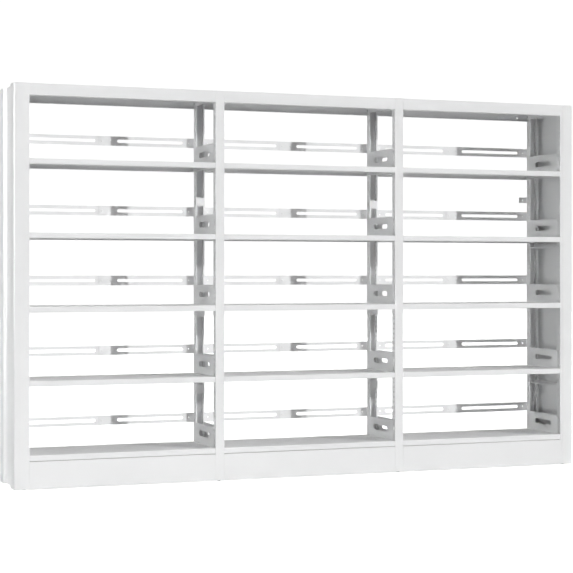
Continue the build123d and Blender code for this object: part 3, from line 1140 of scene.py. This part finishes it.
@dataclass(frozen=True)
class Sky:
    """White backdrop for the camera, room light, and what only highlights show.

    A ramp runs over one axis of the direction, X to the right and Y to the rear.
    """

    backdrop: float = 1.05
    room_glow: float = 0.12
    lean: Ramp = Ramp(-1.0, 1.0, 1.7, 0.3)
    softbox_side: Ramp = Ramp(-0.35, -0.2, 18.0, 0.0)
    softbox_rear: Ramp = Ramp(0.3, 0.5, 1.0, 0.0)
    rear_wall: Ramp = Ramp(0.4, 0.7, 0.0, 0.32)
    white: Vec = (1.0, 1.0, 1.0)

    def build(self) -> None:
        """Surround the range.

        The room's glow times the lean to the left lights it. Highlights also show a softbox at the
        front left, which is its ramp over X times its ramp over Y, and the pale wall behind.
        """
        world = bpy.data.worlds.new("sky")
        graph = NodeGraph(world)
        place = graph.add("TexCoord").outputs["Generated"]
        axis = graph.add("SeparateXYZ", Vector=place).outputs
        room = graph.math("MULTIPLY", graph.span(axis["X"], self.lean), self.room_glow)
        softbox = graph.math("MULTIPLY", graph.span(axis["X"], self.softbox_side),
                             graph.span(axis["Y"], self.softbox_rear))
        beside = graph.math("ADD", room, graph.span(axis["Y"], self.rear_wall))
        shown = graph.math("ADD", softbox, beside)
        path = graph.add("LightPath").outputs
        surface = self.background(graph, room)
        for seen, strength in (("Is Glossy Ray", shown), ("Is Camera Ray", self.backdrop)):
            over = self.background(graph, strength)
            surface = graph.add("MixShader", (path[seen], surface, over)).outputs["Shader"]
        graph.add("OutputWorld", Surface=surface)
        bpy.context.scene.world = world

    def background(self, graph: NodeGraph, strength: Socket | float) -> Socket:
        """A white background of a strength."""
        return graph.add("Background", Color=self.white, Strength=strength).outputs["Background"]


@dataclass(frozen=True)
class Studio:
    """Camera, lights and floor of the photograph."""

    camera_at: Vec = (-3.028, -7.913, 1.070)
    camera_yaw: float = -20.5
    lens: float = 99.42
    sensor: float = 36.0
    shift_up: float = -0.0241
    far_clip: float = 200.0
    suns: tuple[Sun, ...] = (
        Sun("key", 2.8, 0.6, (-1.22, 1.0, -0.398)),
        Sun("high", 0.3, 0.6, (-1.22, 1.0, -0.85)),
        Sun("top", 0.9, 40.0, (0.0, 0.0, -1.0)),
    )
    sky: Sky = Sky()
    fill_power: float = 98.0
    fill_at: Vec = (-7.0, -0.3, 1.6)
    fill_to: Vec = (-1.57, 0.0, 1.0)
    fill_size: Pair = (2.5, 3.0)
    floor_size: float = 60.0
    floor_roughness: float = 0.9
    floor_color: Vec = (0.8, 0.8, 0.8)
    floor_glow: float = 0.82
    bounce_color: Vec = (0.56, 0.56, 0.56)
    bounce_drop: float = 0.0005

    def build(self) -> None:
        """Place the camera, the lights, the sky and the floor."""
        self.add_camera()
        for sun in self.suns:
            self.add_sun(sun)
        self.add_fill()
        self.sky.build()
        self.add_floor()
        bpy.context.scene.view_settings.view_transform = "Standard"

    def add_camera(self) -> None:
        """Set the camera level at the photograph's point of view."""
        data = bpy.data.cameras.new("camera")
        data.lens = self.lens
        data.sensor_width = self.sensor
        data.shift_y = self.shift_up
        data.clip_end = self.far_clip
        camera = bpy.data.objects.new("camera", data)
        camera.location = self.camera_at
        camera.rotation_euler = (math.pi / 2, 0.0, math.radians(self.camera_yaw))
        bpy.context.scene.collection.objects.link(camera)
        bpy.context.scene.camera = camera

    def aim(self, lamp: bpy.types.Object, travel: Vec) -> None:
        """Turn a lamp so that its light travels along a direction."""
        x, y, z = travel
        lamp.rotation_euler = (math.atan2(math.hypot(x, y), -z), 0.0, math.atan2(-x, y))

    def add_sun(self, sun: Sun) -> None:
        """Add a far light that leaves no glare of its own on the paint.

        Args:
            sun: the light.
        """
        data = bpy.data.lights.new(sun.name, "SUN")
        data.energy = sun.strength
        data.angle = math.radians(sun.spread)
        lamp = bpy.data.objects.new(sun.name, data)
        lamp.visible_glossy = False
        self.aim(lamp, sun.travel)
        bpy.context.scene.collection.objects.link(lamp)

    def add_fill(self) -> None:
        """Add the large soft light at the left."""
        data = bpy.data.lights.new("fill", "AREA")
        data.energy = self.fill_power
        data.shape = "RECTANGLE"
        data.size, data.size_y = self.fill_size
        lamp = bpy.data.objects.new("fill", data)
        lamp.location = self.fill_at
        self.aim(lamp, tuple(to - at for to, at in zip(self.fill_to, self.fill_at)))
        lamp.visible_camera = False
        bpy.context.scene.collection.objects.link(lamp)

    def add_floor(self) -> None:
        """Lay a plain white floor for the camera, and a grey one under it for the light alone."""
        seen = self.plane("floor", self.floor_color, self.floor_glow, 0.0)
        seen.visible_diffuse = False
        seen.visible_glossy = False
        seen.visible_shadow = False
        unseen = self.plane("floor_bounce", self.bounce_color, 0.0, -self.bounce_drop)
        unseen.visible_camera = False

    def plane(self, name: str, color: Vec, glow: float, height: float) -> bpy.types.Object:
        """A plain stage floor.

        Args:
            name: name of the floor and its finish.
            color: its colour.
            glow: light of its own.
            height: its level.

        Returns:
            The floor.
        """
        half = self.floor_size / 2
        corners = [(x * half, y * half, height) for x, y in ((-1, -1), (1, -1), (1, 1), (-1, 1))]
        mesh = bpy.data.meshes.new(name)
        mesh.from_pydata(corners, [], [(0, 1, 2, 3)])
        graph = NodeGraph(bpy.data.materials.new(name))
        mesh.materials.append(graph.finish(Base_Color=color, Roughness=self.floor_roughness,
                                           Emission_Color=self.sky.white, Emission_Strength=glow))
        floor = bpy.data.objects.new(name, mesh)
        bpy.context.scene.collection.objects.link(floor)
        return floor


def main() -> None:
    """Dress the CAD pieces, build the fuller ones in order, and report each."""
    logging.basicConfig(level=logging.INFO, format="%(message)s")
    finishes = Finishes()
    slots = {row["node"]: Slot(row["material_slot"]) for row in frame["record"]["subparts"]}
    for name, node in frame["nodes"].items():
        finishes.dress(node, slots[name])
        log.info("dressed %s", name)
    layout = Layout()
    for kind in (ShelfBoards, TopBoards, KickPlates, EndCovers, Brackets, PanelScrews, RailRivets,
                 LevellingGlides):
        for piece in kind(layout, finishes).build():
            log.info("built %s: %d faces", piece.name, len(piece.data.polygons))
    Studio().build()


if __name__ == "__main__":
    main()
